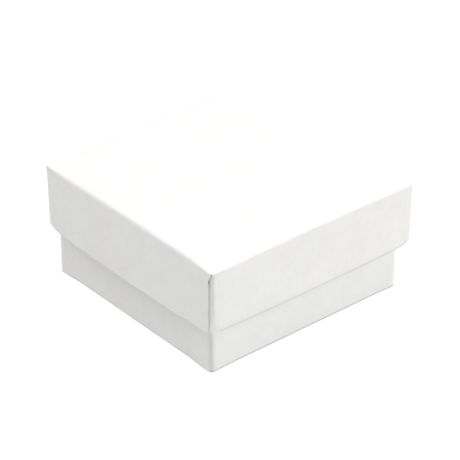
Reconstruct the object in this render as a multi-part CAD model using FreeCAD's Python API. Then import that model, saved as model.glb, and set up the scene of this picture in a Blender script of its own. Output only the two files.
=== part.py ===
"""Two-piece rigid gift box for jewellery, closed, in millimetres.

A lid drops over a taller base tray and rests on its rim. Each tray is a folded greyboard blank
with a white lining inside, a stay of hot-melt tape pressed into each corner, and one sheet of
wrapping paper glued over the outside and turned in over the rim. A covered foam insert stands in
the base and grips the jewellery in its slits.

Frame: +Z up, the front wall faces -Y, and the origin is at the middle of the face that the box
stands on. Writes one STEP file per piece to parts/.
"""

import FreeCAD, Part
import os

from FreeCAD import Vector

# Overall sizes
LID_LENGTH = 65.0  # along X, over the wrapping paper of the side walls
LID_WIDTH = 65.0  # along Y, over the wrapping paper of the front and back walls
LID_HEIGHT = 17.2  # top face to rim
BASE_HEIGHT = 28.6  # resting face to rim
LID_FIT = 0.45  # gap per side between the lid's turned-in paper and the base's wrapping

# Sheet stock
BOARD = 1.5  # greyboard
LINING = 0.10  # white paper laminated to the board's inner face
PAPER = 0.15  # wrapping paper
STAY = 0.12  # corner tape

# Folded greyboard
FOLD_RADIUS = 1.2  # outside of every folded and every upright edge
RIM_RADIUS = 0.35  # outside edge of the rim
WALL_JOINT = 0.15  # slit between neighbouring walls, which the stay bridges
STAY_LEG = 8.0  # reach of the stay along each wall
STAY_FOOT = 2.0  # from the floor's outer face up to the stay
STAY_HEAD = 1.0  # from the stay up to the rim

# Wrapping paper
LID_TURN_IN = 12.0  # reach of the paper inside the lid, from the rim
BASE_TURN_IN = 14.0
TURN_IN_TAPER = 3.0  # each turn-in is this much narrower at its free edge, on either side
EAR = 9.0  # reach of the side walls' paper round the corner, under the front and back paper
SEAM_SETBACK = 0.2  # from the end of the corner's radius to the edge of the covering paper
SEAM_MARGIN = 0.3  # from the fold and from the rim's radius to the ends of the seam

# Insert
INSERT_HEIGHT = 18.0
INSERT_FIT = 0.25  # gap per side between the insert and the turned-in paper
INSERT_COVER = 0.5  # pile fabric
INSERT_CARD = 0.8  # backing card
INSERT_EDGE = 2.0  # radius of the insert's top and upright edges, over the fabric
COVER_TUCK = 7.0  # reach of the fabric under the card
SLIT_DEPTH = 12.0  # from the insert's top face
RING_SLIT = 24.0  # length, on the insert's centre line
RING_SLIT_GAP = 0.8
EARRING_SLIT = 4.0  # length
EARRING_SLIT_GAP = 0.6
EARRING_SPREAD = 30.0  # from one earring slit to the other, along X
EARRING_OFFSET = 13.0  # behind the ring slit
CHAIN_SLIT = 9.0  # length of each diagonal chain slit
CHAIN_SLIT_GAP = 0.6
CHAIN_INSET = 7.5  # from the insert's two back upright edges, along X and along Y


FLAT = 1e-4  # an edge that spans less than this lies at one height, or stands upright


def block(length, width, low, high):
    """A plain block, centred on Z, from the height low to the height high."""
    return Part.makeBox(length, width, high - low, Vector(-length / 2, -width / 2, low))


def edges_at(shape, height):
    """The edges that lie wholly at a height."""
    boxes = [(edge, edge.BoundBox) for edge in shape.Edges]
    return [edge for edge, b in boxes if max(abs(b.ZMin - height), abs(b.ZMax - height)) < FLAT]


def upright_edges(shape):
    boxes = [(edge, edge.BoundBox) for edge in shape.Edges]
    return [edge for edge, b in boxes if max(b.XLength, b.YLength) < FLAT]


def folded_block(length, width, low, high, fold, rim):
    """A block whose upright and bottom edges have the radius fold, and its top edges the radius rim."""
    plain = block(length, width, low, high)
    folded = plain.makeFillet(fold, upright_edges(plain) + edges_at(plain, low))
    return folded.makeFillet(rim, edges_at(folded, high))


def in_each_corner(piece):
    """A piece made for the +X +Y corner, and its mirror images for the other three corners."""
    across_x = piece.mirror(Vector(0, 0, 0), Vector(1, 0, 0))
    pair = [piece, across_x]
    return pair + [p.mirror(Vector(0, 0, 0), Vector(0, 1, 0)) for p in pair]


class Tray:
    """The sizes of one wrapped tray, which stands open side up on the height 0."""

    def __init__(self, length, width, height, turn_in):
        self.length, self.width, self.height, self.turn_in = length, width, height, turn_in
        self.board_length, self.board_width = length - 2 * PAPER, width - 2 * PAPER
        self.board_rim = height - PAPER
        self.floor = PAPER + BOARD
        self.lined_length, self.lined_width = self.board_length - 2 * BOARD, self.board_width - 2 * BOARD
        self.lined_floor = self.floor + LINING
        self.inner_length, self.inner_width = self.lined_length - 2 * LINING, self.lined_width - 2 * LINING
        self.clear_length, self.clear_width = self.inner_length - 2 * PAPER, self.inner_width - 2 * PAPER

    def board_envelope(self, inset=0.0):
        """The folded board's outside as a full block, or that block with its sides drawn in."""
        length, width = self.board_length - 2 * inset, self.board_width - 2 * inset
        low, high = PAPER + inset, self.board_rim - inset
        return folded_block(length, width, low, high, FOLD_RADIUS - inset, RIM_RADIUS)

    def corner_stays(self):
        """Four L-shaped tapes, flush with the board's outside."""
        shell = self.board_envelope().cut(self.board_envelope(STAY))
        low, high = PAPER + STAY_FOOT, self.board_rim - STAY_HEAD
        corner = Vector(self.board_length / 2 - STAY_LEG, self.board_width / 2 - STAY_LEG, low)
        reach = Part.makeBox(STAY_LEG, STAY_LEG, high - low, corner)
        return in_each_corner(shell.common(reach))

    def wall_joints(self, length, width, floor, thickness):
        """The slits where the side walls of a hollow butt against its front and back walls."""
        start = Vector(length / 2, width / 2 - WALL_JOINT, floor)
        return in_each_corner(Part.makeBox(thickness, WALL_JOINT, self.board_rim - floor, start))

    def board(self):
        """The folded blank: its walls join only the floor, and the stays are let in flush."""
        hollow = block(self.lined_length, self.lined_width, self.floor, self.board_rim)
        joints = self.wall_joints(self.lined_length, self.lined_width, self.floor, BOARD)
        return self.board_envelope().cut([hollow] + joints + self.corner_stays())

    def lining(self):
        """The white lining, slit at the corners as the board is."""
        skin = block(self.lined_length, self.lined_width, self.floor, self.board_rim)
        hollow = block(self.inner_length, self.inner_width, self.lined_floor, self.board_rim)
        joints = self.wall_joints(self.inner_length, self.inner_width, self.lined_floor, LINING)
        return skin.cut([hollow] + joints)

    def turn_in_flap(self, across, wall):
        """A tapered flap across wide that lies inside the wall at y = wall, down from the rim."""
        low, half, taper = self.height - self.turn_in, across / 2, TURN_IN_TAPER
        outline = [(-half, self.height), (half, self.height), (half - taper, low), (taper - half, low)]
        points = [Vector(x, wall, z) for x, z in outline]
        face = Part.Face(Part.makePolygon(points + points[:1]))
        return face.extrude(Vector(0, -PAPER, 0))

    def turn_ins(self):
        along_y = Vector(0, 0, 1)
        side = self.turn_in_flap(self.inner_width, self.inner_length / 2)
        back = self.turn_in_flap(self.inner_length, self.inner_width / 2)
        flaps = []
        for turn, flap in ((0, back), (180, back), (90, side), (270, side)):
            flap = flap.copy()
            flap.rotate(Vector(0, 0, 0), along_y, turn)
            flaps.append(flap)
        return flaps

    def covering_corner(self):
        """The raised end of the back wall's paper, where it lies over the side wall's ear."""
        edge = self.length / 2 - PAPER - FOLD_RADIUS - SEAM_SETBACK
        low = PAPER + FOLD_RADIUS + SEAM_MARGIN
        high = self.height - PAPER - RIM_RADIUS - SEAM_MARGIN
        return Part.makeBox(EAR, PAPER, high - low, Vector(edge - EAR, self.width / 2, low))

    def wrap(self):
        """The wrapping paper: outside, over the rim, and down inside in four tapered flaps."""
        outside = folded_block(
            self.length, self.width, 0, self.height, FOLD_RADIUS + PAPER, RIM_RADIUS + PAPER
        )
        mouth = block(self.inner_length, self.inner_width, self.board_rim, self.height)
        skin = outside.cut([self.board_envelope(), mouth])
        return skin.fuse(self.turn_ins() + in_each_corner(self.covering_corner())).removeSplitter()


class Insert:
    """The sizes of the covered foam pad, which stands on the base's lining."""

    def __init__(self, base):
        self.length = base.clear_length - 2 * INSERT_FIT
        self.width = base.clear_width - 2 * INSERT_FIT
        self.low = base.lined_floor
        self.high = self.low + INSERT_HEIGHT
        self.card_low = self.low + INSERT_COVER
        self.foam_low = self.card_low + INSERT_CARD

    def pad(self, low, inset=0.0):
        """The pad as a full block from the height low, or that block inside its cover."""
        length, width, high = self.length - 2 * inset, self.width - 2 * inset, self.high - inset
        plain = block(length, width, low, high)
        return plain.makeFillet(INSERT_EDGE - inset, upright_edges(plain) + edges_at(plain, high))

    def slit(self, length, gap, x, y, turn):
        """A slit through the cover into the foam, centred on x, y and turned about Z."""
        low = self.high - SLIT_DEPTH
        cut = block(length, gap, low, self.high)
        cut.rotate(Vector(0, 0, 0), Vector(0, 0, 1), turn)
        return cut.translated(Vector(x, y, 0))

    def slits(self):
        ring = self.slit(RING_SLIT, RING_SLIT_GAP, 0, 0, 0)
        cuts = [ring]
        chain_x, chain_y = self.length / 2 - CHAIN_INSET, self.width / 2 - CHAIN_INSET
        for side in (-1, 1):
            ear_x = side * EARRING_SPREAD / 2
            cuts.append(self.slit(EARRING_SLIT, EARRING_SLIT_GAP, ear_x, EARRING_OFFSET, 0))
            cuts.append(self.slit(CHAIN_SLIT, CHAIN_SLIT_GAP, side * chain_x, chain_y, -45 * side))
        return cuts

    def card(self):
        length, width = self.length - 2 * INSERT_COVER, self.width - 2 * INSERT_COVER
        plain = block(length, width, self.card_low, self.foam_low)
        return plain.makeFillet(INSERT_EDGE - INSERT_COVER, upright_edges(plain))

    def foam(self):
        return self.pad(self.foam_low, INSERT_COVER).cut(self.slits())

    def cover(self):
        """Fabric over the top and sides, tucked under the card all round."""
        inside = self.pad(self.card_low, INSERT_COVER)
        window_length, window_width = self.length - 2 * COVER_TUCK, self.width - 2 * COVER_TUCK
        window = block(window_length, window_width, self.low, self.card_low)
        return self.pad(self.low).cut([inside, window] + self.slits())


def as_lid(shape, top):
    """A tray's piece turned over, with the tray's outer face at the height top."""
    turned = shape.copy()
    turned.rotate(Vector(0, 0, 0), Vector(1, 0, 0), 180)
    return turned.translated(Vector(0, 0, top))


def tray_pieces(name, tray):
    """Every piece of one tray, by node name."""
    pieces = {f"{name}_board": tray.board(), f"{name}_lining": tray.lining(), f"{name}_wrap": tray.wrap()}
    for shape in tray.corner_stays():
        centre = shape.BoundBox.Center
        # The lid is turned over about X after this, which swaps its front and back.
        behind = (centre.y > 0) != (name == "lid")
        place = ("back" if behind else "front") + ("_right" if centre.x > 0 else "_left")
        pieces[f"{name}_corner_stay_{place}"] = shape
    return pieces


def gift_box():
    """Every piece of the closed box, by node name."""
    lid = Tray(LID_LENGTH, LID_WIDTH, LID_HEIGHT, LID_TURN_IN)
    base_length, base_width = lid.clear_length - 2 * LID_FIT, lid.clear_width - 2 * LID_FIT
    base = Tray(base_length, base_width, BASE_HEIGHT, BASE_TURN_IN)
    insert = Insert(base)
    pieces = tray_pieces("base", base)
    lid_top = BASE_HEIGHT + lid.lined_floor
    for name, shape in tray_pieces("lid", lid).items():
        pieces[name] = as_lid(shape, lid_top)
    pieces["insert_card"] = insert.card()
    pieces["insert_foam"] = insert.foam()
    pieces["insert_cover"] = insert.cover()
    return pieces


os.makedirs("parts", exist_ok=True)
for node, shape in gift_box().items():
    if len(shape.Solids) != 1 or not shape.isValid():
        raise ValueError(f"{node} is {len(shape.Solids)} solids, or isn't valid")
    solid = shape.Solids[0]
    solid.exportStep(f"parts/{node}.step")
    box = solid.optimalBoundingBox()
    print(f"{node:30} {box.XLength:6.2f} x {box.YLength:6.2f} mm, z {box.ZMin:6.2f} to {box.ZMax:6.2f}")
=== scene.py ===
"""Looks of a two-piece rigid gift box: folded wrapping paper, white lining, greyboard and a velvet insert."""

import math
import random
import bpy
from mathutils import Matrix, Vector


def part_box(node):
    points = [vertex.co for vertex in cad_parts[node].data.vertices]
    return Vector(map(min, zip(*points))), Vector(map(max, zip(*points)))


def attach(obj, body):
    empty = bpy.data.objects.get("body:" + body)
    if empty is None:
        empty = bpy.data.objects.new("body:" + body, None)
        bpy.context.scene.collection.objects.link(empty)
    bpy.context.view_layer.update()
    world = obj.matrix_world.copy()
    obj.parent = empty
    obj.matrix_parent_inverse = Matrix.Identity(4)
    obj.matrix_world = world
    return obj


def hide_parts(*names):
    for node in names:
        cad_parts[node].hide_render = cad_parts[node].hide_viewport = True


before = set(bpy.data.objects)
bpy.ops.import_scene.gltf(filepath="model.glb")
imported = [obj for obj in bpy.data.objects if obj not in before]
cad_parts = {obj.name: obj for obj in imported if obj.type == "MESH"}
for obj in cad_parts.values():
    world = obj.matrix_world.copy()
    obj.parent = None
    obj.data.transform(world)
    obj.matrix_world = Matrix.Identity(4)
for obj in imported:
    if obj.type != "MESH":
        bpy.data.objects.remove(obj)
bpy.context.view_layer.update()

from types import SimpleNamespace

import bmesh
import bpy
import numpy as np
from mathutils import Vector
from mathutils.geometry import delaunay_2d_cdt

MM = 0.001

# Camera
CAMERA_AZIMUTH = 49.95  # degrees round from the front wall towards the right wall
CAMERA_ELEVATION = 31.84
CAMERA_DISTANCE = 659.4 * MM
CAMERA_LENS = 206.7  # on the default 36 mm sensor
CAMERA_AIM = Vector((1.57, -0.38, 15.23)) * MM
CAMERA_CLIP = (0.01, 20.0)

# Light
SOFTBOX_SIZE = 0.9
SOFTBOX_AIM = Vector((0, 0, 15)) * MM
SOFTBOXES = (  # name, place and power
    ("overhead softbox", (0.0, 0.0, 1.3), 3.9),
    ("front left softbox", (-0.35, -0.45, 1.25), 11.7),
    ("back softbox", (0.1, 0.9, 1.0), 5.3),
    ("back right softbox", (0.9, 0.7, 0.8), 10.3),
)
FLOOR_HALF = 3.0  # half of the floor's side
FLOOR_GLOW = 0.75  # the floor is an acrylic sheet that is lit from below

# Wrapping paper
LID_PAPER = SimpleNamespace(
    turn_in=12.0 * MM,  # reach of the paper inside the tray, from the rim
    fold_in=1.3 * MM,  # how far the fold round the flat face reaches in over it
    fold_down=0.8 * MM,  # and along the wall
    sag=0.08 * MM,  # the flat face sinks by this towards its fold
    tight=0.35,  # what is left of the fold's size at the corners, where the paper is pulled hard
    radius=1.15 * MM,  # upright corners
    shoulder=0.12 * MM,  # the side walls are drawn in by this beside an upright corner
    seam=0.62 * MM,  # from the middle of an upright corner to the covering paper's cut edge
    seam_bow=0.22 * MM,  # further than that at half the wall's height
    curl=0.035 * MM,  # how far that edge lifts off the ear
    turned=-1,  # -1 where the tray is made open side up and then turned over about X
    gape=1.0,  # share of the corners' own gapes that it has
    fold_shade=0.0,  # how dark the painted shade is along the fold round the flat face
    rim_shade=0.32,  # and along the rim, where the lid's edge meets the base
)
BASE_PAPER = SimpleNamespace(
    turn_in=14.0 * MM,
    fold_in=0.5 * MM,
    fold_down=0.5 * MM,
    sag=0.25 * MM,
    tight=0.7,
    radius=1.35 * MM,
    shoulder=0.05 * MM,
    seam=0.2 * MM,
    seam_bow=0.0,
    curl=0.02 * MM,
    turned=1,
    gape=0.0,
    # painted shade along the bottom fold, where the box stands on the floor
    fold_shade=0.55,
    rim_shade=0.0,
)
TURN_IN_TAPER = 3.0 * MM
TURN_IN_LEAST = 1.0 * MM  # its reach at a corner
INNER_CORNER = 0.3 * MM
FLAT_CORNER = 0.25 * MM  # what is left of an upright corner's radius where it meets the flat face
SAG_REACH = 3.4 * MM
TIGHT_REACH = 7.0 * MM  # along the fold, from a corner
TIGHT_DEPTH = 4.0 * MM  # down the wall, from the fold
SHOULDER_REACH = 2.6 * MM
RIM_OUTSIDE = 0.5 * MM
RIM_INSIDE = 0.35 * MM
EAR = 9.0 * MM  # reach of the side walls' paper under the front and back paper
EAR_RAMP = 6.0 * MM  # the covering paper settles back to the board over this width
CURL_REACH = 1.2 * MM

# Each corner's sides in X and Y, and what is its own about it on the lid. gape: how far its cut edge gapes
# near the top. sink: share of the shoulder that it has. top and rim: how far the corner of the top and of
# the rim stands up. reach: how far along the rim that goes.
CORNERS = {
    (1, 1): SimpleNamespace(gape=0.0, sink=0.2, top=0.1 * MM, rim=1.9 * MM, reach=3.6 * MM),
    (-1, 1): SimpleNamespace(gape=1.5, sink=0.6, top=0.3 * MM, rim=1.3 * MM, reach=3.6 * MM),
    (-1, -1): SimpleNamespace(gape=1.0, sink=0.6, top=0.75 * MM, rim=1.9 * MM, reach=5.8 * MM),
    (1, -1): SimpleNamespace(gape=8.0, sink=1.0, top=0.0, rim=0.6 * MM, reach=3.6 * MM),
}
WIDE_GAPE = 4  # the painted shade in the seam shows in full from here
GAPE_DEPTH = 1.8 * MM  # below the flat face
GAPE_SPREAD = 1.5 * MM
PAPER_HUES = ((1.016, 0.99, 0.975), (0.993, 1.004, 1.0))  # its cloudy warm and cool casts
FRONT_SHADE = 0.65  # share of the painted edge shade that the front and back fold have. Their rims have none.
BURNISHED = 0.4  # what is left of the paper's thickness at its cut edge, where it was rubbed down
BURNISH_REACH = 0.6 * MM
COLUMNS_APART = 0.005 * MM  # vertices of the cut edge, where it is closed
UNDERCUT = 0.4 * MM  # how far the glue stays back from the cut edge
PINCH = 0.06 * MM  # how far the ear is pressed in beside that edge
SEAM_START = 0.02 * MM  # from the corner's middle to that edge, beside the flat face
SEAM_WAVE = 0.05 * MM
SEAM_WAVES = (7, 13, 19)  # radians over the wall's height
SEAM_SETTLE = 8.0 * MM  # past this the paper's vertices no longer follow the cut edge
CREASE_START = 1.2 * MM  # below the flat face, where the cut edge starts on its diagonal
CREASE_LENGTH = 1.4 * MM
EDGE_SHADE_REACH = 0.55 * MM  # how far over a wall the painted shade along its fold and along its rim reaches
SEAM_SHADE_SHOWING = 0.3  # share of the painted seam shade that shows, away from where the edge gapes
PAINTED_SHADE_TINT = (0.36, 0.35, 0.335, 1)  # painted shade: the grey that darkens the seams' crevices under the cut edge, the base's bottom fold and the lid's rim
FLAT_RINGS = (0.3, 0.55, 0.75)  # rings of vertices on the flat face, as shares of its size
FOLD_STEPS = 8
WALL_LEVELS = 46
WALL_CROWDING = 1.2  # above 1 the levels are closer together beside the fold
RIM_OUTER_STEPS = 5
RIM_INNER_STEPS = 4
SIDE_COLUMNS = 14  # of vertices, over half a side wall
ARC_COLUMNS = 8
FRONT_COLUMNS = 24

# Velvet insert
PAD_CORNER = 2.0 * MM  # radius of its upright corners
PAD_EDGE = 2.0 * MM  # radius of its top edge
PAD_HEM = 0.9 * MM  # radius of its bottom edge, where the velvet turns under the card
PAD_CROWN = 0.45 * MM
PAD_GRID = 1.6 * MM
PAD_GRID_MARGIN = 1.0  # in mm, from the innermost ring round its top
PAD_SIDE_STEPS = 16  # over half a side
PAD_ARC_STEPS = 8
PAD_LEAST_CORNER = 0.3 * MM
PAD_SLACK = 0.12 * MM  # its sides are drawn in by this at half their height
PAD_HEM_STEPS = 4
PAD_INSETS = (0.0, 0.06, 0.2, 0.42, 0.72, 1.1, 1.55, 2.05, 2.7, 3.5)  # rings round its top, in mm
PAD_LEVELS = 9
NAP_DENSITY = 8.0e6  # fibres in a square metre
NAP_LENGTH = 0.34 * MM
NAP_WIDTH = 0.09 * MM
NAP_SIDES = 3
NAP_SIZES = (0.7, 1.25)  # shares of that length and width, at random
NAP_LEAN = 0.35  # radians, at random
NAP_BRUSHING = 1.5  # radians, in patches
NAP_PATCH = 9.0 * MM
NAP_STEEPEST = 0.3  # the least upward part of the normal that carries fibres
NAP_SEED = 7
SLIT_DEPTH = 12.0 * MM
SLIT_LIP = 0.55 * MM  # radius that the velvet turns down into a slit with
SLIT_DIP = 0.3 * MM  # the top sinks by this towards a slit
SLIT_DIP_REACH = 2.2 * MM
SLIT_OFFSETS = (0.0, 0.05, 0.15, 0.3, 0.55, 0.9, 1.4, 2.0)  # rings round a slit, in mm
SLIT_LEVELS = (0.5, 1.2, 2.5, 4.5, 7.0, 9.5, 12.0)  # rings down it, in mm
SLIT_PINCH = 0.3  # share of a slit's width that is left at its ends
SLIT_CLOSING = 0.55  # share of its width by which it closes on the way down
SLIT_CLOSED_AT = 1 / 1.2  # share of its depth
SLIT_STEP = 0.8  # in mm, along its outline
SLIT_LEAST_STEPS = 8
SLIT_END_STEPS = 5
SLIT_MARGIN = 0.7  # in mm, between the outermost ring round a slit and the pad's grid
SLITS = (  # middle x and y, turn in degrees, length and width
    (0.0, 0.0, 0, 24.0, 0.8),
    (-15.0, 13.0, 0, 4.0, 0.6),
    (15.0, 13.0, 0, 4.0, 0.6),
    (-20.5, 20.5, 45, 9.0, 0.6),
    (20.5, 20.5, -45, 9.0, 0.6),
)

# How the lid is out of true, as a hand-glued one is
LID_OFF_CENTRE = (0.30 * MM, 0.33 * MM)  # it lies this far over in the gap round the base
FRONT_BOW = 0.75 * MM  # the front wall's rim stands out by this at its middle
BACK_BOW = 0.7 * MM
SIDE_BOW = 0.45 * MM
BOW_GROWTH = 1.5  # power of the way down from the top to the rim
WALL_FROM = 0.8  # share of the lid's half width past which a point moves with the wall
WALL_BLEND = 0.12  # share of it over which it starts to
TOP_CROWN = 0.7 * MM  # the flat face and its edges stand up by this, between the corners
TOP_RISE_REACH = 14 * MM
RIM_RISE_HEIGHT = 5.0 * MM  # the rim's raised corners fade out over this height
RIM_TUCK = 0.25 * MM  # the rim's corners are drawn in by this
CUT_CLOSE = 0.8 * MM  # from cut to cut, where the lid's board, lining and tapes follow that shape
CUT_COARSE = 3.0 * MM  # and in the middle of each side
CUT_REACH = 5.0 * MM  # the close cuts lie within this of both ends


def mix(a, b, t):
    return a + (b - a) * t


def smooth(t):
    """0 up to t = 0 and 1 from t = 1, with an easy curve between them."""
    t = min(max(t, 0.0), 1.0)
    return t * t * (3 - 2 * t)


def linked(name, data):
    """A new object at the origin of the scene."""
    obj = bpy.data.objects.new(name, data)
    bpy.context.scene.collection.objects.link(obj)
    return obj


def new_object(name, vertices, faces, material):
    mesh = bpy.data.meshes.new(name)
    mesh.from_pydata([tuple(v) for v in vertices], [], faces)
    mesh.validate()
    mesh.polygons.foreach_set("use_smooth", [True] * len(mesh.polygons))
    mesh.materials.append(material)
    return linked(name, mesh)


def finish_node(node, material):
    """Gives a CAD node that is shown as it is a finish."""
    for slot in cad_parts[node].material_slots:
        slot.material = material


# ---------------------------------------------------------------------------------- materials


class Wire:
    """A shader socket. Adding to it and multiplying it adds Math nodes to its material."""

    def __init__(self, finish, socket):
        self.finish = finish
        self.socket = socket

    def math(self, operation, *terms):
        return self.finish.node("ShaderNodeMath", {"operation": operation}, dict(enumerate(terms)))

    def __add__(self, other):
        return self.math("ADD", self, other)

    def __mul__(self, other):
        return self.math("MULTIPLY", self, other)

    __radd__ = __add__
    __rmul__ = __mul__


class Finish:
    """A material whose surface is one Principled shader. Constants are set on that shader's sockets."""

    def __init__(self, name, **constants):
        self.material = bpy.data.materials.new(name)
        self.material.use_nodes = True
        self.nodes = self.material.node_tree.nodes
        self.links = self.material.node_tree.links
        self.surface = self.nodes["Principled BSDF"]
        for socket, value in constants.items():
            self.surface.inputs[socket.replace("_", " ")].default_value = value
        self.place = self.node("ShaderNodeTexCoord", {}, {}, "Object")

    def node(self, kind, settings, inputs, output=0):
        """Adds a node, sets its settings first and then its sockets' values or links."""
        made = self.nodes.new(kind)
        for name, value in settings.items():
            if name == "stops":
                ramp = made.color_ramp.elements
                for stop, (position, colour) in zip((ramp[0], ramp[1]), value):
                    stop.position, stop.color = position, (*colour, 1)
                for position, colour in value[2:]:
                    ramp.new(position).color = (*colour, 1)
            else:
                setattr(made, name, value)
        for name, value in inputs.items():
            self.feed(made.inputs[name], value)
        return Wire(self, made.outputs[output])

    def feed(self, socket, value):
        if isinstance(value, Wire):
            self.links.new(value.socket, socket)
        else:
            socket.default_value = value

    def noise(self, size, detail=4.0, roughness=0.55, stretch=(1, 1, 1), distortion=0.0):
        """Cloudy noise from 0 to 1 with features about size across, in metres."""
        place = self.node("ShaderNodeMapping", {}, {"Vector": self.place, "Scale": stretch})
        sockets = {"Vector": place, "Scale": 1 / size, "Detail": detail, "Roughness": roughness}
        return self.node("ShaderNodeTexNoise", {}, {**sockets, "Distortion": distortion}, "Fac")

    def ramp(self, factor, *stops):
        return self.node("ShaderNodeValToRGB", {"stops": stops}, {"Fac": factor}, "Color")

    def step(self, value, low, high):
        """0 below low and 1 above high."""
        sockets = {"Value": value, "From Min": low, "From Max": high}
        return self.node("ShaderNodeMapRange", {"interpolation_type": "SMOOTHSTEP"}, sockets)

    def blend(self, factor, a, b):
        """A colour from a to b."""
        return self.node("ShaderNodeMix", {"data_type": "RGBA"}, {0: factor, 6: a, 7: b}, 2)

    def bump(self, height, distance, under=None):
        """A bump that is distance high in metres where height is 1, on top of the bump under."""
        sockets = {"Height": height, "Distance": distance}
        if under:
            sockets["Normal"] = under
        return self.node("ShaderNodeBump", {}, sockets)

    def finished(self, **varying):
        for socket, value in varying.items():
            self.feed(self.surface.inputs[socket.replace("_", " ")], value)
        return self.material


def paper(name, tint, roughness):
    """Smooth uncoated white paper glued over board: faint clouds of a warm and a cool cast, a fine tooth, a
    soft unevenness, and painted shade where the piece's own attribute asks for it: in the seams' crevices,
    along the base's bottom fold and along the lid's rim."""
    f = Finish(name, Specular_IOR_Level=0.35)
    clouds = f.noise(5.0 * MM, detail=5)
    flecks = f.noise(0.9 * MM, detail=3, roughness=0.7)
    fibres = f.noise(0.35 * MM, detail=2, stretch=(1, 0.35, 0.35))
    broad = f.noise(26 * MM, detail=5, roughness=0.62)
    cast = broad * 0.62 + f.noise(4.2 * MM, detail=4, roughness=0.7) * 0.38
    shade = clouds * 0.55 + flecks * 0.45
    hues = []
    for red, green, blue in PAPER_HUES:
        hue = (tint[0] * red, tint[1] * green, tint[2] * blue)
        hues.append(f.ramp(shade, (0.3, tuple(0.94 * c for c in hue)), (0.62, hue)))
    colour = f.blend(f.step(cast, 0.42, 0.58), *hues)
    # painted shade, read from the piece's own attribute: it darkens the seams' crevices, the base's bottom
    # fold and the lid's rim
    glue = f.node("ShaderNodeAttribute", {"attribute_name": "glue_line"}, {}, "Fac")
    colour = f.blend(glue, colour, PAINTED_SHADE_TINT)
    rough = roughness + flecks * 0.08
    board = f.bump(f.noise(9 * MM, detail=2), 0.10 * MM)
    tooth = f.bump(flecks * 0.7 + fibres * 0.3, 0.012 * MM, under=board)
    return f.finished(Base_Color=colour, Roughness=rough, Normal=tooth)


def greyboard():
    """Recycled board: grey-brown, with pale and dark fibre flecks."""
    f = Finish("recycled greyboard", Specular_IOR_Level=0.25)
    pulp = f.noise(1.6 * MM, detail=6, roughness=0.65)
    fleck = f.noise(0.4 * MM, detail=3, stretch=(1, 3, 3))
    colour = f.ramp(pulp, (0.3, (0.26, 0.245, 0.22)), (0.7, (0.44, 0.42, 0.385)))
    pale = f.step(fleck, 0.66, 0.74)
    colour = f.blend(pale * 0.7, colour, (0.62, 0.59, 0.53, 1))
    tooth = f.bump(pulp * 0.5 + fleck * 0.5, 0.04 * MM)
    return f.finished(Base_Color=colour, Roughness=0.86 + pulp * 0.1, Normal=tooth)


def stay_tape():
    """Brown kraft tape with a slight sheen of set glue."""
    f = Finish("kraft corner tape", Specular_IOR_Level=0.4)
    grain = f.noise(0.8 * MM, detail=5, stretch=(1, 1, 0.25))
    colour = f.ramp(grain, (0.3, (0.42, 0.29, 0.17)), (0.7, (0.60, 0.45, 0.29)))
    return f.finished(Base_Color=colour, Roughness=0.5 + grain * 0.2, Normal=f.bump(grain, 0.02 * MM))


def backing_card():
    f = Finish("grey backing card", Specular_IOR_Level=0.25)
    pulp = f.noise(1.1 * MM, detail=6, roughness=0.6)
    colour = f.ramp(pulp, (0.3, (0.46, 0.43, 0.38)), (0.7, (0.62, 0.59, 0.53)))
    return f.finished(Base_Color=colour, Roughness=0.85 + pulp * 0.1, Normal=f.bump(pulp, 0.03 * MM))


def velvet():
    """White flocked velvet: a dense upright pile, brushed a little one way and the other; the lighter and
    darker patches that its brushing shows are painted sheen in its colour.
    """
    f = Finish(
        "white velvet", Specular_IOR_Level=0.15, Sheen_Weight=0.6, Sheen_Roughness=0.35,
        Sheen_Tint=(1.0, 0.99, 0.97, 1),
    )
    # painted sheen: lighter and darker patches where the nap is brushed one way or the other
    brushed = f.noise(11 * MM, detail=2, distortion=0.8)
    tufts = f.noise(0.5 * MM, detail=3, roughness=0.7)
    pile = f.noise(0.16 * MM, detail=2)
    shade = brushed * 0.45 + tufts * 0.3 + pile * 0.25
    colour = f.ramp(shade, (0.34, (0.77, 0.76, 0.73)), (0.62, (0.91, 0.905, 0.885)))
    nap = f.bump(tufts * 0.5 + pile * 0.5, 0.09 * MM)
    return f.finished(Base_Color=colour, Roughness=0.86 + tufts * 0.1, Normal=nap)


def studio_white():
    """An opal acrylic sheet that glows evenly."""
    f = Finish(
        "studio floor", Roughness=0.9, Specular_IOR_Level=0.1, Emission_Color=(1, 1, 1, 1),
        Emission_Strength=FLOOR_GLOW,
    )
    colour = f.ramp(f.noise(0.4), (0.3, (0.34, 0.34, 0.34)), (0.7, (0.36, 0.36, 0.36)))
    return f.finished(Base_Color=colour)


WRAPPING_PAPER = paper("white wrapping paper", (0.911, 0.912, 0.901), 0.55)
LINING_PAPER = paper("white lining paper", (0.875, 0.873, 0.862), 0.62)
GREYBOARD = greyboard()
VELVET = velvet()

# ------------------------------------------------------------------------------------- wraps

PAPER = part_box("base_board")[0].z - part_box("base_wrap")[0].z
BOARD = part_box("base_lining")[0].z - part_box("base_board")[0].z
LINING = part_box("insert_cover")[0].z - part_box("base_lining")[0].z
WALL = PAPER + BOARD + LINING + PAPER  # a finished wall, from the wrap to the turned-in paper


def outline(half_x, half_y, radius, along):
    """A point and its outward normal on a rounded rectangle's +X +Y quarter. along is -2 at the middle
    of the +X side, -1 to 1 on the corner's arc and 2 at the middle of the +Y side."""
    if along <= -1:
        return half_x, (half_y - radius) * (2 + along), 1.0, 0.0
    if along >= 1:
        return (half_x - radius) * (2 - along), half_y, 0.0, 1.0
    angle = (along + 1) * math.pi / 4
    out_x, out_y = math.cos(angle), math.sin(angle)
    return half_x - radius + radius * out_x, half_y - radius + radius * out_y, out_x, out_y


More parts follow.
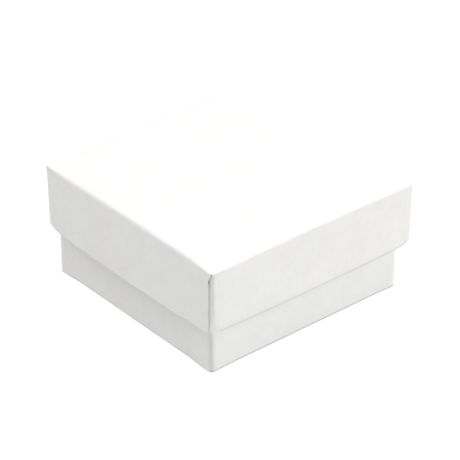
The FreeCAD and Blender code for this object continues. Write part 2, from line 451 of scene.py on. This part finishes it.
class Row:
    """One ring of the paper's section: how far it is in from the wall's outer face, how high, which way the
    face looks there, and the radius of its corners. seam is how open the covering paper's edge is, share how
    far down its turned-in flap the ring lies, scale its size, and the last argument how much painted shade
    darkens the paper there, along a fold or the rim."""

    def __init__(self, inset, z, out, up, radius, seam=0.0, share=0.0, scale=1.0, edge_shade=0.0):
        self.inset, self.z, self.out, self.up, self.radius = inset, z, out, up, radius
        self.seam, self.share, self.scale, self.edge_shade = seam, share, scale, edge_shade


class Column:
    """One line of vertices across the rings. It lies at from_corner from the corner's middle, at from_edge
    from the covering paper's cut edge, or at share_of_ear of the way between those two. With both from_corner
    and from_edge it follows the edge nearby, and apart is where it lies while that edge is still closed. ply
    is how much of the covering paper's thickness lies there, lift how much of its curl, pinch how much the
    ear is pressed in, and the last argument how much painted shade darkens the seam's crevice there."""

    def __init__(
        self, from_corner=0.0, from_edge=None, share_of_ear=None, ply=0.0, lift=0.0, pinch=0.0, glue=0.0
    ):
        self.from_corner, self.from_edge, self.share_of_ear = from_corner, from_edge, share_of_ear
        self.ply, self.lift, self.pinch, self.glue = ply, lift, pinch, glue
        self.apart = 0.0


class Wrap:
    """The paper over one tray, which stands open side up on z = 0."""

    def __init__(self, body, made):
        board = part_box(f"{body}_board")[1]
        low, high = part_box(f"{body}_wrap")
        self.half_x, self.half_y, self.height = board.x + PAPER, board.y + PAPER, high.z - low.z
        self.made = made
        self.arc = made.radius * math.pi / 4  # from an upright corner's middle to the end of its radius
        phases = random.Random(f"{body} paper")
        self.phases = {corner: [phases.uniform(0, math.tau) for _ in SEAM_WAVES] for corner in CORNERS}

    def edge_at(self, z, corner):
        """From the corner's middle to the covering paper's cut edge, which starts as a diagonal."""
        along = min(max(z / self.height, 0.0), 1.0)
        edge = self.made.seam + self.made.seam_bow * math.sin(math.pi * along)
        for number, (wave, phase) in enumerate(zip(SEAM_WAVES, self.phases[corner]), 1):
            edge += SEAM_WAVE * math.sin(along * wave + phase) / number
        return mix(SEAM_START, edge, smooth((z - CREASE_START) / CREASE_LENGTH))

    def sagged(self, inset):
        """How far the flat face has sunk, that far in from the wall's outer face."""
        return self.made.sag * max(1 - inset / SAG_REACH, 0) ** 2

    def rows(self):
        """The rings, from the middle of the flat face out, up the wall, over the rim and down the turn-in to
        its cut edge, then back up and down behind the paper to the middle again."""
        rows, top = [], self.height
        fold_in, fold_down = self.made.fold_in, self.made.fold_down
        for scale in FLAT_RINGS:
            rows.append(Row(SAG_REACH, 0, 0, -1, FLAT_CORNER, scale=scale))
        for share in (1.0, 0.85, 0.7, 0.55, 0.4, 0.2):
            inset = mix(fold_in, SAG_REACH, share)
            rows.append(Row(inset, self.sagged(inset), 0, -1, FLAT_CORNER))
        for step in range(FOLD_STEPS + 1):
            turn = math.pi / 2 * step / FOLD_STEPS
            out, up = fold_down * math.sin(turn), fold_in * math.cos(turn)
            long = math.hypot(out, up)
            inset = fold_in * (1 - math.sin(turn))
            z = fold_down * (1 - math.cos(turn)) + self.sagged(inset)
            radius = mix(FLAT_CORNER, self.made.radius, math.sin(turn))
            seam = smooth(1.6 * math.sin(turn) - 0.2)
            # painted shade round the fold
            edge_shade = self.made.fold_shade * math.sin(turn)
            rows.append(Row(inset, z, out / long, -up / long, radius, seam=seam, edge_shade=edge_shade))
        wall_top = top - RIM_OUTSIDE
        for level in range(1, WALL_LEVELS + 1):
            z = mix(fold_down + self.made.sag, wall_top, (level / WALL_LEVELS) ** WALL_CROWDING)
            # painted shade beside the fold and below the rim
            edge_shade = self.made.fold_shade * (1 - smooth((z - fold_down) / EDGE_SHADE_REACH))
            edge_shade += self.made.rim_shade * smooth(1 - (wall_top - z) / EDGE_SHADE_REACH)
            rows.append(Row(0, z, 1, 0, self.made.radius, seam=1, edge_shade=edge_shade))
        for step in range(1, RIM_OUTER_STEPS + 1):
            turn = math.pi / 2 * step / RIM_OUTER_STEPS
            out, up = math.cos(turn), math.sin(turn)
            inset, z = RIM_OUTSIDE * (1 - out), wall_top + RIM_OUTSIDE * up
            radius = max(self.made.radius - 2 * inset, FLAT_CORNER)
            # the rim's painted shade
            rows.append(Row(inset, z, out, up, radius, seam=1, edge_shade=self.made.rim_shade))
        for step in range(RIM_INNER_STEPS + 1):
            turn = math.pi / 2 * step / RIM_INNER_STEPS
            out, up = -math.sin(turn), math.cos(turn)
            inset, z = WALL - RIM_INSIDE * (1 + out), top - RIM_INSIDE * (1 - up)
            seam = 0.5 * (1 - step / RIM_INNER_STEPS)
            rows.append(Row(inset, z, out, up, INNER_CORNER, seam=seam))
        inside = top - RIM_INSIDE
        for share in (0.05, 0.12, 0.22, 0.35, 0.5, 0.65, 0.8, 0.92, 1.0):
            rows.append(Row(WALL, inside, -1, 0, INNER_CORNER, share=share))
        for share in (1.0, 0.6, 0.2):
            rows.append(Row(WALL - PAPER, inside, 1, 0, INNER_CORNER, share=share))
        rows.append(Row(WALL - PAPER, top - PAPER, 1, -1, INNER_CORNER))
        rows.append(Row(PAPER, top - PAPER, -1, -1, self.made.radius - PAPER))
        for z in (top / 2, fold_down + self.made.sag):
            rows.append(Row(PAPER, z, -1, 0, self.made.radius - PAPER))
        rows.append(Row(SAG_REACH, PAPER, 0, 1, FLAT_CORNER))
        for scale in (0.55, 0.3):
            rows.append(Row(SAG_REACH, PAPER, 0, 1, FLAT_CORNER, scale=scale))
        return rows

    def columns(self):
        """From the middle of the side wall, round the corner, to the middle of the front or back wall."""
        columns = []
        span = self.half_y - self.made.radius
        for step in range(SIDE_COLUMNS, 0, -1):
            columns.append(Column(from_corner=-self.arc - span * (step / SIDE_COLUMNS) ** 2))
        for step in range(ARC_COLUMNS):
            columns.append(Column(from_corner=-self.arc * (1 - step / ARC_COLUMNS)))
        # On the ear, the last value is painted shade that deepens towards the cut edge.
        for share in (0, 0.15, 0.3, 0.45, 0.6, 0.72, 0.83, 0.92, 1.0):
            columns.append(Column(share_of_ear=share, pinch=smooth(share * 1.6 - 0.6), glue=share**6 / 3))
        # Under and at the cut edge, with painted shade in the crevice there as the last value.
        lap = [
            Column(from_edge=0.15 * MM, pinch=1, glue=0.8),
            Column(from_edge=UNDERCUT, pinch=0.3, glue=1),
            Column(from_edge=UNDERCUT, lift=0.1, glue=1),
            Column(from_edge=0.15 * MM, lift=0.85, glue=1),
            Column(from_edge=0.03 * MM, lift=1, glue=0.6),
            Column(from_edge=0, ply=0.15, lift=1, glue=0.2),
            Column(from_edge=0, ply=BURNISHED * 0.85, lift=1),
            Column(from_edge=0.02 * MM, ply=BURNISHED, lift=1),
        ]
        for number, column in enumerate(lap, 1):
            column.apart = number * COLUMNS_APART
        columns += lap
        span = self.half_x - self.made.radius + self.arc - self.made.seam
        for step in range(1, FRONT_COLUMNS + 1):
            distance = span * (step / FRONT_COLUMNS) ** 2
            ply = 1 - smooth((distance - EAR) / EAR_RAMP + 1)
            ply *= mix(BURNISHED, 1, smooth(distance / BURNISH_REACH))
            lift = (1 - smooth(distance / CURL_REACH)) ** 2
            columns.append(Column(self.made.seam, distance, ply=ply, lift=lift))
        return columns

    def tightened(self, row, past):
        """A ring's inset and height. Round the flat face's fold both get smaller towards a corner."""
        if row.inset > SAG_REACH or (row.inset >= PAPER and row.up >= 0):
            return row.inset, row.z
        fold, bottom = self.made.fold_in, self.made.fold_down + self.made.sag
        tight = mix(self.made.tight, 1, smooth(past / TIGHT_REACH))
        inset = row.inset * mix(tight, 1, smooth((row.inset - fold) / (SAG_REACH - fold)))
        above = max(row.z - bottom, 0)
        return inset, row.z - (1 - tight) * (row.z - above) * (1 - smooth(above / TIGHT_DEPTH))

    def place(self, column, row, corner):
        """A vertex, and how much painted shade darkens the paper there."""
        edge = self.edge_at(row.z, corner)
        if column.share_of_ear is not None:
            at = column.share_of_ear * edge
        elif column.from_edge is None:
            at = column.from_corner
        elif column.from_corner:
            followed = mix(edge, column.from_corner, smooth(column.from_edge / SEAM_SETTLE))
            at = followed + column.from_edge
        else:
            at = edge + mix(column.apart, column.from_edge, row.seam)
        span = (self.half_x if at > 0 else self.half_y) - self.made.radius
        past = max(abs(at) - self.arc, 0.0)
        along = min(abs(at) / self.arc, 1.0) + min(past / span, 1.0)
        inset, height = self.tightened(row, past)
        half_x, half_y = (self.half_x - inset) * row.scale, (self.half_y - inset) * row.scale
        x, y, out_x, out_y = outline(half_x, half_y, row.radius * row.scale, math.copysign(along, at))
        own = CORNERS[corner[0], corner[1] * self.made.turned]
        gape = self.made.gape * own.gape * math.exp(-(((row.z - GAPE_DEPTH) / GAPE_SPREAD) ** 2))
        away = smooth(edge / self.made.seam)
        curl = self.made.curl * (away + gape)
        over = row.seam * (column.ply * PAPER + column.lift * curl)
        under = row.seam * column.pinch * PINCH
        if row.inset < WALL / 2:
            shoulder = self.made.shoulder * own.sink * max(1 - past / SHOULDER_REACH, 0) ** 2
            under += shoulder * (out_x * row.out) ** 2
        turned_in = min(TURN_IN_LEAST + past * self.made.turn_in / TURN_IN_TAPER, self.made.turn_in)
        x -= under * row.out * out_x
        y += (over - under * out_y) * row.out
        z = height - row.share * (turned_in - RIM_INSIDE) + (over - under) * row.up
        # Painted shade in the seam's crevice, in full where the edge gapes.
        glue = column.glue * row.seam * mix(SEAM_SHADE_SHOWING * away, 1, min(gape / WIDE_GAPE, 1))
        # Painted shade along the folded edges and the rim; the front and back fold carry part of it.
        front = FRONT_SHADE if row.z < self.height / 2 else 0
        painted_darkening = max(glue, row.edge_shade * mix(front, 1, out_x**2))
        return corner[0] * x, corner[1] * y, z, painted_darkening

    def ring(self, row, columns):
        """The ring all the way round, counter-clockwise from the middle of the +X wall."""
        points = []
        for corner, forward in (((1, 1), True), ((-1, 1), False), ((-1, -1), True), ((1, -1), False)):
            quarter = [self.place(column, row, corner) for column in columns]
            points += quarter[:-1] if forward else quarter[:0:-1]
        return points

    def mesh(self):
        """The closed sheet's vertices, how dull the paper is at each, and its faces."""
        rows, columns = self.rows(), self.columns()
        rings = [self.ring(row, columns) for row in rows]
        count = len(rings[0])
        vertices = [(0, 0, rows[0].z, 0)] + [p for ring in rings for p in ring] + [(0, 0, rows[-1].z, 0)]
        last = 1 + (len(rings) - 1) * count
        faces = [(0, 1 + (j + 1) % count, 1 + j) for j in range(count)]
        for i in range(len(rings) - 1):
            below, above = 1 + i * count, 1 + (i + 1) * count
            for j in range(count):
                k = (j + 1) % count
                faces.append((below + j, below + k, above + k, above + j))
        faces += [(last + j, last + (j + 1) % count, len(vertices) - 1) for j in range(count)]
        table = np.array(vertices)
        return table[:, :3], table[:, 3], faces


def lid_out_of_true(points):
    """Moves points of the closed lid. Its walls bow out towards the rim, its top is crowned, the corners of
    both rise, and the rim's are drawn in as well."""
    low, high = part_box("lid_wrap")
    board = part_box("lid_board")[1]
    half = np.array((board.x + PAPER, board.y + PAPER))
    x, y, z = points.T
    down = np.clip((high.z - z) / (high.z - low.z), 0, 1)
    across = np.clip(np.abs(points[:, :2]) / half, 0, 1)
    bulge = (1 - across**2) * (down**BOW_GROWTH)[:, None]
    near = np.clip((across - WALL_FROM) / WALL_BLEND, 0, 1)
    bow_y = np.where(y < 0, FRONT_BOW, BACK_BOW)
    moved = points.copy()
    moved[:, 2] += TOP_CROWN * (1 - (across[:, 0] * across[:, 1]) ** 3) * (1 - down)
    moved[:, 1] += np.sign(y) * near[:, 1] * (bow_y * bulge[:, 0] - RIM_TUCK * down * across[:, 0] ** 4)
    moved[:, 0] += np.sign(x) * near[:, 0] * (SIDE_BOW * bulge[:, 1] - RIM_TUCK * down * across[:, 1] ** 4)
    along = np.max(half - np.abs(points[:, :2]), axis=1)
    rim = np.clip((low.z + RIM_RISE_HEIGHT - z) / RIM_RISE_HEIGHT, 0, 1) ** 2
    raised = np.clip(1 - along / TOP_RISE_REACH, 0, 1) ** 2 * (1 - down)
    for (side_x, side_y), own in CORNERS.items():
        here = (np.sign(x) == side_x) & (np.sign(y) == side_y)
        closeness = np.clip(1 - along / own.reach, 0, 1) ** 2
        moved[:, 2] += np.where(here, own.rim * closeness * rim + own.top * raised, 0)
    return moved + (*LID_OFF_CENTRE, 0)


def store_painted_shade(piece, glue):
    """Stores how much painted shade darkens the paper at each vertex, for its finish to read."""
    piece.data.attributes.new("glue_line", "FLOAT", "POINT").data.foreach_set("value", glue)


def base_wrap():
    """The base's paper."""
    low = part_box("base_wrap")[0]
    vertices, glue, faces = Wrap("base", BASE_PAPER).mesh()
    piece = new_object("base_wrapping_paper", vertices + (0, 0, low.z), faces, WRAPPING_PAPER)
    store_painted_shade(piece, glue)
    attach(piece, "base")
    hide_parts("base_wrap")


def lid_wrap():
    """The lid's paper: the same wrap, turned over about X."""
    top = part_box("lid_wrap")[1].z
    vertices, glue, faces = Wrap("lid", LID_PAPER).mesh()
    turned = vertices * (1, -1, -1) + (0, 0, top)
    piece = new_object("lid_wrapping_paper", lid_out_of_true(turned), faces, WRAPPING_PAPER)
    store_painted_shade(piece, glue)
    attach(piece, "lid")
    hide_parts("lid_wrap")


# ---------------------------------------------------------------------- board, lining and stays


def cut_levels(low, high):
    """Places from low to high for cuts, close together near both ends."""
    ends = np.arange(CUT_CLOSE, CUT_REACH, CUT_CLOSE)
    middle = np.arange(low + CUT_REACH, high - CUT_REACH, CUT_COARSE)
    return sorted([low + e for e in ends] + list(middle) + [high - e for e in ends])


def diced(node, name, material):
    """A copy of a lid node, cut into small faces so that it can follow the lid's shape."""
    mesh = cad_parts[node].data.copy()
    mesh.name = name
    low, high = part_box(node)
    shape = bmesh.new()
    shape.from_mesh(mesh)
    bmesh.ops.remove_doubles(shape, verts=shape.verts, dist=1e-6)
    for axis in range(3):
        normal, place = Vector(), Vector()
        normal[axis] = 1
        for level in cut_levels(low[axis], high[axis]):
            place[axis] = level
            parts = shape.verts[:] + shape.edges[:] + shape.faces[:]
            bmesh.ops.bisect_plane(shape, geom=parts, dist=1e-7, plane_co=place, plane_no=normal)
    shape.to_mesh(mesh)
    shape.free()
    flat = np.empty(len(mesh.vertices) * 3)
    mesh.vertices.foreach_get("co", flat)
    mesh.vertices.foreach_set("co", lid_out_of_true(flat.reshape(-1, 3)).ravel())
    mesh.materials.clear()
    mesh.materials.append(material)
    return linked(name, mesh)


def board_lining_and_tapes():
    """The lid's board, lining and corner tapes, in the lid's own shape, and the base's tapes as they are."""
    tape = stay_tape()
    plan = [
        ("lid_board", "lid_greyboard", GREYBOARD, "greyboard"),
        ("lid_lining", "lid_white_lining", LINING_PAPER, "lining_paper"),
    ]
    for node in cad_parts:
        if node.startswith("lid_corner_stay"):
            plan.append((node, node.replace("stay", "tape"), tape, "stay_tape"))
        elif node.startswith("base_corner_stay"):
            finish_node(node, tape)
    for node, name, material, slot in plan:
        piece = diced(node, name, material)
        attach(piece, "lid")
        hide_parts(node)


# ------------------------------------------------------------------------------------ insert


class Slit:
    """A cut in the pad. Its outline is a pointed oval that is widest in the middle."""

    def __init__(self, x, y, turn, length, width):
        self.middle = np.array((x, y)) * MM
        turn = math.radians(turn)
        self.along = np.array((math.cos(turn), math.sin(turn)))
        self.across = np.array((-self.along[1], self.along[0]))
        self.half_long, self.half_wide = length * MM / 2, width * MM / 2
        self.steps = max(int(length / SLIT_STEP), SLIT_LEAST_STEPS)

    def ring(self, offset):
        """Points round the slit at that distance from its outline, counter-clockwise."""
        points = []
        for side in (1, -1):
            for step in range(self.steps + 1):
                share = math.cos(math.pi * step / self.steps)
                wide = self.half_wide * mix(1, SLIT_PINCH, share**4) + offset
                points.append((side * share * (self.half_long - self.half_wide), side * wide))
            for step in range(1, SLIT_END_STEPS):
                turn = math.pi * (0.5 + step / SLIT_END_STEPS)
                end = self.half_wide * SLIT_PINCH + offset
                x = -(self.half_long - self.half_wide) + end * math.cos(turn)
                points.append((side * x, side * end * math.sin(turn)))
        return [self.middle + x * self.along + y * self.across for x, y in points]

    def distance(self, point):
        """From the slit's outline, near enough, and less than 0 inside it."""
        x = (point - self.middle) @ self.along
        y = (point - self.middle) @ self.across
        past = max(abs(x) - (self.half_long - self.half_wide), 0)
        share = min(abs(x) / (self.half_long - self.half_wide), 1)
        return math.hypot(past, y) - self.half_wide * mix(1, SLIT_PINCH, share**4)


class Pad:
    """The foam pad in its velvet: a crowned top with rounded edges, slits that run down into it, and sides
    that turn under its card."""

    def __init__(self):
        self.low, self.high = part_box("insert_cover")
        self.half = self.high.x
        self.slits = [Slit(*slit) for slit in SLITS]
        self.vertices, self.faces = [], []

    def outline(self, inset):
        """The pad's outline, that far in, counter-clockwise from the middle of its +X side."""
        half, radius = self.half - inset, max(PAD_CORNER - inset, PAD_LEAST_CORNER)
        quarter = [-2 + step / PAD_SIDE_STEPS for step in range(PAD_SIDE_STEPS)]
        quarter += [-1 + 2 * step / PAD_ARC_STEPS for step in range(PAD_ARC_STEPS + 1)]
        quarter += [1 + step / PAD_SIDE_STEPS for step in range(1, PAD_SIDE_STEPS)]
        points = [outline(half, half, radius, along)[:2] for along in quarter]
        for _ in range(3):
            points += [(-y, x) for x, y in points[-len(quarter) :]]
        return [np.array(point) for point in points]

    def height(self, point):
        """Of the pad's top, with its crown and its dips and rounded lips at the slits."""
        x, y = np.abs(point) / self.half
        z = self.high.z - PAD_CROWN * (1 - (1 - min(x, 1) ** 2) * (1 - min(y, 1) ** 2))
        for slit in self.slits:
            near = max(slit.distance(point), 0)
            z -= SLIT_DIP * (1 - smooth(near / SLIT_DIP_REACH))
            if near < SLIT_LIP:
                z -= SLIT_LIP - math.sqrt(SLIT_LIP**2 - (SLIT_LIP - near) ** 2)
        return z

    def add(self, points):
        """Adds vertices and returns their numbers."""
        first = len(self.vertices)
        self.vertices += [tuple(point) for point in points]
        return list(range(first, len(self.vertices)))

    def band(self, outer, inner):
        """Faces between two rings that have the same number of vertices."""
        for j, here in enumerate(outer):
            k = (j + 1) % len(outer)
            self.faces.append((here, outer[k], inner[k], inner[j]))

    def top(self):
        """The top face. It returns the rings of vertices at its edge and round each slit."""
        flat, loops = [], [self.outline(inset * MM) for inset in PAD_INSETS]
        for slit in self.slits:
            loops += [slit.ring(offset * MM) for offset in SLIT_OFFSETS]
        edges = []
        for loop in loops:
            first = len(flat)
            flat += loop
            edges += [(first + j, first + (j + 1) % len(loop)) for j in range(len(loop))]
        inner = self.half - (PAD_INSETS[-1] + PAD_GRID_MARGIN) * MM
        clear = (SLIT_OFFSETS[-1] + SLIT_MARGIN) * MM
        count = round(2 * inner / PAD_GRID)
        for i in range(count + 1):
            for j in range(count + 1):
                point = np.array((-inner + 2 * inner * i / count, -inner + 2 * inner * j / count))
                if min(slit.distance(point) for slit in self.slits) > clear:
                    flat.append(point)
        made = delaunay_2d_cdt([Vector(point) for point in flat], edges, [], 0, 1e-8)
        places, faces, sources = made[0], made[2], made[3]
        numbers = {source: number for number, found in enumerate(sources) for source in found}
        points = []
        for place in places:
            point = np.array(place)
            z = self.height(point)
            edge = self.half - np.max(np.abs(point))
            corner = np.abs(point) - (self.half - PAD_CORNER)
            if corner.min() > 0:
                edge = PAD_CORNER - np.linalg.norm(corner)
            if edge < PAD_EDGE:
                z -= PAD_EDGE - math.sqrt(max(PAD_EDGE**2 - (PAD_EDGE - max(edge, 0)) ** 2, 0))
            points.append((*point, z))
        self.add(points)
        for face in faces:
            middle = sum((np.array(places[v]) for v in face), np.zeros(2)) / len(face)
            if min(slit.distance(middle) for slit in self.slits) > -1e-6:
                self.faces.append(tuple(face))
        rings, first = [], 0
        for loop in loops:
            rings.append([numbers[first + j] for j in range(len(loop))])
            first += len(loop)
        return rings[0], rings[len(PAD_INSETS) :: len(SLIT_OFFSETS)]

    def wall(self, ring):
        """The pad's sides and its underside, down from the ring at the edge of its top."""
        top = self.vertices[ring[0]][2]
        bottom = self.low.z + PAD_HEM
        for level in range(1, PAD_LEVELS + 1):
            share = level / PAD_LEVELS
            slack = PAD_SLACK * math.sin(math.pi * share)
            z = mix(top, bottom, share)
            below = self.add([(*point, z) for point in self.outline(slack)])
            self.band(below, ring)
            ring = below
        for step in range(1, PAD_HEM_STEPS + 1):
            turn = math.pi / 2 * step / PAD_HEM_STEPS
            inset, drop = PAD_HEM * (1 - math.cos(turn)), PAD_HEM * math.sin(turn)
            below = self.add([(*point, bottom - drop) for point in self.outline(inset)])
            self.band(below, ring)
            ring = below
        middle = self.add([(0, 0, self.low.z)])[0]
        for j, here in enumerate(ring):
            self.faces.append((middle, ring[(j + 1) % len(ring)], here))

    def slit_wall(self, slit, ring):
        """A slit's walls, down from the ring at its lip, closed at the bottom."""
        lip = [np.array(self.vertices[number][:2]) for number in ring]
        top = self.high.z - SLIT_LIP - SLIT_DIP
        for level in SLIT_LEVELS:
            closed = SLIT_CLOSING * smooth(level * MM / SLIT_DEPTH / SLIT_CLOSED_AT)
            points = []
            for point in lip:
                across = (point - slit.middle) @ slit.across
                points.append((*(point - slit.across * across * closed), top - level * MM))
            below = self.add(points)
            self.band(ring, below)
            ring = below
        middle = self.add([(*slit.middle, top - SLIT_DEPTH)])[0]
        for j, here in enumerate(ring):
            self.faces.append((here, ring[(j + 1) % len(ring)], middle))

    def piece(self):
        """The whole pad, as one closed object."""
        edge, lips = self.top()
        self.wall(edge)
        for slit, lip in zip(self.slits, lips):
            self.slit_wall(slit, lip)
        return new_object("velvet_pad", self.vertices, self.faces, VELVET)


class Tree:
    """A geometry node tree with named inputs. made() applies it to a piece and returns a plain mesh."""

    def __init__(self, name, inputs):
        self.tree = bpy.data.node_groups.new(name, "GeometryNodeTree")
        self.values = {}
        add = self.tree.interface.new_socket
        add("Geometry", in_out="INPUT", socket_type="NodeSocketGeometry")
        for label, (kind, value) in inputs.items():
            socket = add(label, in_out="INPUT", socket_type=kind)
            self.values[socket.identifier] = value
        add("Geometry", in_out="OUTPUT", socket_type="NodeSocketGeometry")
        self.given = self.tree.nodes.new("NodeGroupInput").outputs

    def node(self, kind, settings, inputs):
        """Adds a node, sets its settings and then its sockets' values or links, and returns its outputs."""
        made = self.tree.nodes.new(kind)
        for name, value in settings.items():
            setattr(made, name, value)
        for name, value in inputs.items():
            if isinstance(value, bpy.types.NodeSocket):
                self.tree.links.new(value, made.inputs[name])
            else:
                made.inputs[name].default_value = value
        return made.outputs

    def made(self, source, name):
        """The tree's result on a source object, as a new plain object. The source is left as it was."""
        modifier = source.modifiers.new(name, "NODES")
        modifier.node_group = self.tree
        for identifier, value in self.values.items():
            modifier[identifier] = value
        graph = bpy.context.evaluated_depsgraph_get()
        mesh = bpy.data.meshes.new_from_object(source.evaluated_get(graph), depsgraph=graph)
        source.modifiers.remove(modifier)
        mesh.name = name
        return linked(name, mesh)


def nap():
    """Geometry nodes that stand short fibres all over a mesh's upward faces, brushed this way and that."""
    number = "NodeSocketFloat"
    tree = Tree("velvet nap", {
        "Fibres in a square metre": (number, NAP_DENSITY),
        "Length": (number, NAP_LENGTH),
        "Width": (number, NAP_WIDTH),
        "Lean": (number, NAP_LEAN),
        "Brushing": (number, NAP_BRUSHING),
        "Seed": ("NodeSocketInt", NAP_SEED),
        "Material": ("NodeSocketMaterial", VELVET),
    })
    given = tree.given
    normal = tree.node("GeometryNodeInputNormal", {}, {})["Normal"]
    steepness = tree.node("ShaderNodeSeparateXYZ", {}, {0: normal})["Z"]
    more = {"operation": "GREATER_THAN"}
    upward = tree.node("FunctionNodeCompare", more, {0: steepness, 1: NAP_STEEPEST})[0]
    spread = tree.node("GeometryNodeDistributePointsOnFaces", {}, {
        "Mesh": given["Geometry"],
        "Selection": upward,
        "Density": given["Fibres in a square metre"],
        "Seed": given["Seed"],
    })
    turn = math.pi
    scatter = tree.node("FunctionNodeRandomValue", {"data_type": "FLOAT_VECTOR"}, {
        0: (-1, -1, -turn), 1: (1, 1, turn), "Seed": given["Seed"],
    })[0]
    place = tree.node("GeometryNodeInputPosition", {}, {})[0]
    clouds = tree.node("ShaderNodeTexNoise", {}, {
        "Vector": place, "Scale": 1 / NAP_PATCH, "Detail": 1.0,
    })["Color"]
    lean = tree.node("ShaderNodeCombineXYZ", {}, {0: given["Lean"], 1: given["Lean"], 2: 1.0})[0]

    def combined(operation, a, b):
        """Two vectors, or a vector and its scale."""
        second = "Scale" if operation == "SCALE" else 1
        return tree.node("ShaderNodeVectorMath", {"operation": operation}, {0: a, second: b})[0]

    def rotated(space, rotation, by):
        sockets = {"Rotation": rotation, "Rotate By": by}
        return tree.node("FunctionNodeRotateRotation", {"rotation_space": space}, sockets)[0]

    sweep = combined("SCALE", combined("SUBTRACT", clouds, (0.5, 0.5, 0.5)), given["Brushing"])
    loose = combined("MULTIPLY", scatter, lean)
    leaning = rotated("LOCAL", rotated("GLOBAL", spread["Rotation"], sweep), loose)
    half = tree.node("ShaderNodeMath", {"operation": "MULTIPLY"}, {0: given["Width"], 1: 0.5})[0]
    fibre = tree.node("GeometryNodeMeshCone", {}, {
        "Vertices": NAP_SIDES, "Radius Top": 0.0, "Radius Bottom": half, "Depth": given["Length"],
    })["Mesh"]
    size = tree.node("FunctionNodeRandomValue", {"data_type": "FLOAT"}, {
        2: NAP_SIZES[0], 3: NAP_SIZES[1], "Seed": given["Seed"],
    })[1]
    stood = tree.node("GeometryNodeInstanceOnPoints", {}, {
        "Points": spread["Points"], "Instance": fibre, "Rotation": leaning, "Scale": size,
    })[0]
    solid = tree.node("GeometryNodeRealizeInstances", {}, {0: stood})[0]
    dressed = tree.node("GeometryNodeSetMaterial", {}, {"Geometry": solid, "Material": given["Material"]})[0]
    tree.node("NodeGroupOutput", {}, {"Geometry": dressed})
    return tree


def velvet_pad():
    """The padded insert and the short pile on it."""
    pad = Pad().piece()
    pile = nap().made(pad, "velvet_nap")
    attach(pile, "insert")
    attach(pad, "insert")
    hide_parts("insert_cover", "insert_foam")


# ------------------------------------------------------------------------------- camera and light


def aim(obj, target):
    obj.rotation_euler = (target - obj.location).to_track_quat("-Z", "Y").to_euler()


def camera():
    azimuth, elevation = math.radians(CAMERA_AZIMUTH), math.radians(CAMERA_ELEVATION)
    back = Vector((
        math.sin(azimuth) * math.cos(elevation),
        -math.cos(azimuth) * math.cos(elevation),
        math.sin(elevation),
    ))
    data = bpy.data.cameras.new("camera")
    data.lens = CAMERA_LENS
    data.clip_start, data.clip_end = CAMERA_CLIP
    eye = linked("camera", data)
    eye.location = CAMERA_AIM + back * CAMERA_DISTANCE
    aim(eye, CAMERA_AIM)
    bpy.context.scene.camera = eye


def softbox(name, place, power):
    data = bpy.data.lights.new(name, "AREA")
    data.shape, data.size, data.energy = "SQUARE", SOFTBOX_SIZE, power
    light = linked(name, data)
    light.location = place
    aim(light, SOFTBOX_AIM)


def studio():
    corners = [(x * FLOOR_HALF, y * FLOOR_HALF, 0) for x, y in ((-1, -1), (1, -1), (1, 1), (-1, 1))]
    floor = new_object("floor", corners, [(0, 1, 2, 3)], studio_white())
    world = bpy.data.worlds.new("studio")
    world.use_nodes = True
    world.node_tree.nodes["Background"].inputs["Color"].default_value = (0, 0, 0, 1)
    bpy.context.scene.world = world
    for name, place, power in SOFTBOXES:
        softbox(name, place, power)
    bpy.context.scene.view_settings.view_transform = "Standard"


camera()
studio()
lid_wrap()
base_wrap()
board_lining_and_tapes()
finish_node("base_board", GREYBOARD)
finish_node("base_lining", LINING_PAPER)
finish_node("insert_card", backing_card())
velvet_pad()
